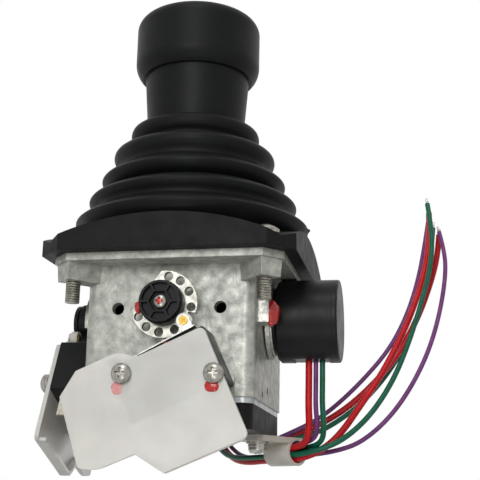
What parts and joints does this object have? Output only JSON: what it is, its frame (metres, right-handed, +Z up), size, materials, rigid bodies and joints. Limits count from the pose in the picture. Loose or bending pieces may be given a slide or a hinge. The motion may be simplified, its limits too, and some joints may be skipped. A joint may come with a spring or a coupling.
{
  "type": "industrial joystick",
  "caption": "Panel joystick with a round grip, black rubber bellows, square flanged casting, cam switches, potentiometers and flying leads.",
  "frame": {"origin": "centre of the casting flange's top face, where the boot frame seats", "axes": "+Z up the lever at rest; -Y towards the front switch; +X towards the right potentiometer"},
  "size_m": [0.1151, 0.0887, 0.1427],
  "materials": {
    "casting": "matt as-cast",
    "boot_rubber": "matt",
    "black_moulding": "fine texture",
    "dark_moulding": "satin",
    "plated_screws": "zinc plated",
    "bush_plastic": "satin",
    "steel_plate": "zinc plated",
    "ground_steel": "ground",
    "spring_steel": "bright",
    "cam_plate": "bright nickel",
    "cast_steel": "blasted",
    "milky_sheet": "translucent, satin",
    "switch_case": "satin",
    "terminal_metal": "tinned",
    "plunger_plastic": "satin",
    "brass_rivet": "bright",
    "roller_plastic": "polished",
    "clip_nylon": "satin",
    "red_lead": "semi-gloss",
    "purple_lead": "semi-gloss",
    "green_lead": "semi-gloss"
  },
  "bodies": {
    "housing_body": {"back_clamp_screws": "plated_screws", "back_green_lead": "green_lead", "back_pot_body": "dark_moulding", "back_pot_cap": "dark_moulding", "back_pot_clamps": "cast_steel", "back_purple_lead": "purple_lead", "back_red_lead": "red_lead", "boot": "boot_rubber", "boot_frame": "black_moulding", "bottom_cover": "black_moulding", "bottom_screws": "plated_screws", "cable_clip": "clip_nylon", "centring_spring_x": "spring_steel", "centring_spring_y": "spring_steel", "clip_screw": "plated_screws", "corner_screws": "plated_screws", "front_cover": "milky_sheet", "front_cover_screws": "plated_screws", "front_switch_blades": "terminal_metal", "front_switch_body": "switch_case", "gate_plate": "steel_plate", "housing": "casting", "left_cover": "milky_sheet", "left_cover_screws": "plated_screws", "left_switch_blades": "terminal_metal", "left_switch_body": "switch_case", "right_clamp_screws": "plated_screws", "right_green_lead": "green_lead", "right_pot_body": "dark_moulding", "right_pot_cap": "dark_moulding", "right_pot_clamps": "cast_steel", "right_purple_lead": "purple_lead", "right_red_lead": "red_lead", "shaft_bushes": "bush_plastic"},
    "gimbal": {"gimbal_ring": "steel_plate", "left_shaft": "ground_steel", "right_shaft": "ground_steel", "left_cam": "cam_plate", "left_hub": "dark_moulding", "left_hub_screw": "plated_screws"},
    "lever": {"lever_shaft": "ground_steel", "cross_pin": "ground_steel", "handle": "black_moulding", "knob_cap": "black_moulding", "lever_nut": "plated_screws"},
    "side_yoke_body": {"side_yoke": "steel_plate", "front_shaft": "ground_steel", "back_shaft": "ground_steel", "front_cam": "cam_plate", "front_hub": "dark_moulding", "front_hub_screw": "plated_screws"},
    "front_arm": {"front_switch_arm": "spring_steel", "front_roller_pin": "brass_rivet"},
    "front_roller_body": {"front_roller": "roller_plastic"},
    "front_plunger_body": {"front_switch_plunger": "plunger_plastic"},
    "left_arm": {"left_switch_arm": "spring_steel", "left_roller_pin": "brass_rivet"},
    "left_roller_body": {"left_roller": "roller_plastic"},
    "left_plunger_body": {"left_switch_plunger": "plunger_plastic"}
  },
  "joints": [
    {"name": "front_back_tilt", "type": "hinge", "parent": "housing_body", "child": "gimbal", "pos_m": [0, 0, -0.0143], "axis": [1, 0, 0], "range_deg": [-20, 20], "stiffness_Nm_per_rad": 0.4, "deforming": ["boot", "centring_spring_x"]},
    {"name": "side_tilt", "type": "hinge", "parent": "gimbal", "child": "lever", "pos_m": [0, 0, -0.0143], "axis": [0, 1, 0], "range_deg": [-20, 20], "stiffness_Nm_per_rad": 0.4, "deforming": ["centring_spring_y"]},
    {"name": "side_yoke_turn", "type": "hinge", "parent": "housing_body", "child": "side_yoke_body", "pos_m": [0, 0, -0.0143], "axis": [0, 1, 0], "range_deg": [-20, 20]},
    {"name": "front_switch_arm_turn", "type": "hinge", "parent": "housing_body", "child": "front_arm", "pos_m": [-0.01146, -0.0329, -0.031], "axis": [0, 1, 0], "range_deg": [0, 2.2], "stiffness_Nm_per_rad": 0.1},
    {"name": "front_roller_spin", "type": "hinge", "parent": "front_arm", "child": "front_roller_body", "pos_m": [0.00688, -0.0327, -0.01979], "axis": [0, 1, 0], "continuous": true},
    {"name": "front_plunger_travel", "type": "slide", "parent": "housing_body", "child": "front_plunger_body", "axis": [-0.421, 0, 0.907], "range_m": [-0.0006, 0]},
    {"name": "left_switch_arm_turn", "type": "hinge", "parent": "housing_body", "child": "left_arm", "pos_m": [-0.0329, 0.01146, -0.031], "axis": [1, 0, 0], "range_deg": [0, 2.2], "stiffness_Nm_per_rad": 0.1},
    {"name": "left_roller_spin", "type": "hinge", "parent": "left_arm", "child": "left_roller_body", "pos_m": [-0.0327, -0.00688, -0.01979], "axis": [1, 0, 0], "continuous": true},
    {"name": "left_plunger_travel", "type": "slide", "parent": "housing_body", "child": "left_plunger_body", "axis": [0, 0.421, 0.907], "range_m": [-0.0006, 0]}
  ],
  "couplings": [
    {"joint": "side_yoke_turn", "follows": "side_tilt", "ratio": 1},
    {"joint": "front_plunger_travel", "follows": "front_switch_arm_turn", "m_per_rad": -0.0144},
    {"joint": "left_plunger_travel", "follows": "left_switch_arm_turn", "m_per_rad": -0.0144}
  ]
}
